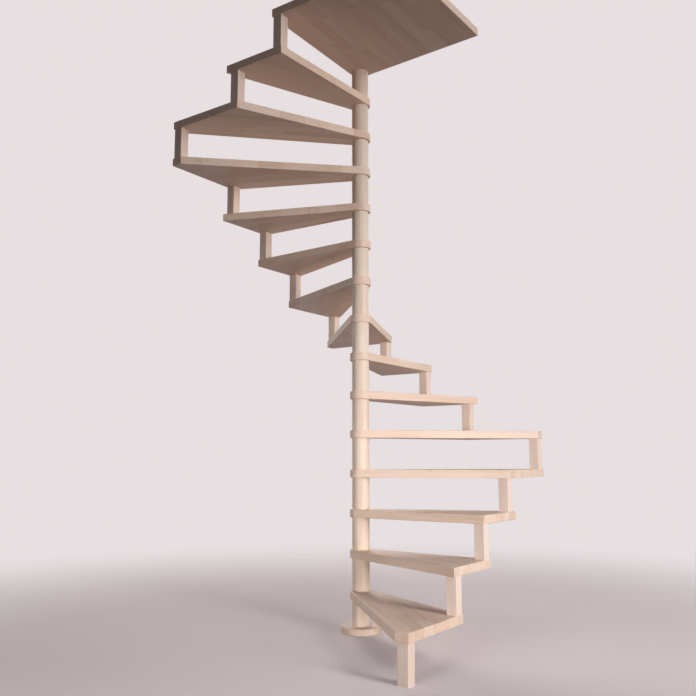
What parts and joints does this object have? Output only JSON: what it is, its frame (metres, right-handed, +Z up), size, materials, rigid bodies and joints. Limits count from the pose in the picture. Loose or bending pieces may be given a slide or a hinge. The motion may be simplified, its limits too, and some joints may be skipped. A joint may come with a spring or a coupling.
{
  "type": "spiral staircase",
  "caption": "Square-plan wooden spiral stair: winder treads on a round central column with square posts at their outer laps, up to a quarter landing.",
  "frame": {"origin": "centre of the square plan on the floor, on the column's axis", "axes": "+Z up along the column's axis; X and Y along the sides of the square plan; the first tread starts at the corner +X -Y and the stair climbs counter-clockwise seen from above"},
  "size_m": [1.4, 1.4, 3],
  "materials": {
    "tread_wood": "edge-glued pale hardwood lamellae, white matt oil",
    "column_wood": "turned pale hardwood, white matt oil",
    "post_wood": "planed pale hardwood, white matt oil"
  },
  "bodies": {
    "root": {"base_disc": "column_wood", "column_spacer_01": "column_wood", "column_spacer_02": "column_wood", "column_spacer_03": "column_wood", "column_spacer_04": "column_wood", "column_spacer_05": "column_wood", "column_spacer_06": "column_wood", "column_spacer_07": "column_wood", "column_spacer_08": "column_wood", "column_spacer_09": "column_wood", "column_spacer_10": "column_wood", "column_spacer_11": "column_wood", "column_spacer_12": "column_wood", "column_spacer_13": "column_wood", "column_spacer_14": "column_wood", "column_spacer_15": "column_wood", "landing": "tread_wood", "post_01": "post_wood", "post_02": "post_wood", "post_03": "post_wood", "post_04": "post_wood", "post_05": "post_wood", "post_06": "post_wood", "post_07": "post_wood", "post_08": "post_wood", "post_09": "post_wood", "post_10": "post_wood", "post_11": "post_wood", "post_12": "post_wood", "post_13": "post_wood", "post_14": "post_wood", "post_15": "post_wood", "tread_01": "tread_wood", "tread_02": "tread_wood", "tread_03": "tread_wood", "tread_04": "tread_wood", "tread_05": "tread_wood", "tread_06": "tread_wood", "tread_07": "tread_wood", "tread_08": "tread_wood", "tread_09": "tread_wood", "tread_10": "tread_wood", "tread_11": "tread_wood", "tread_12": "tread_wood", "tread_13": "tread_wood", "tread_14": "tread_wood"}
  },
  "joints": []
}
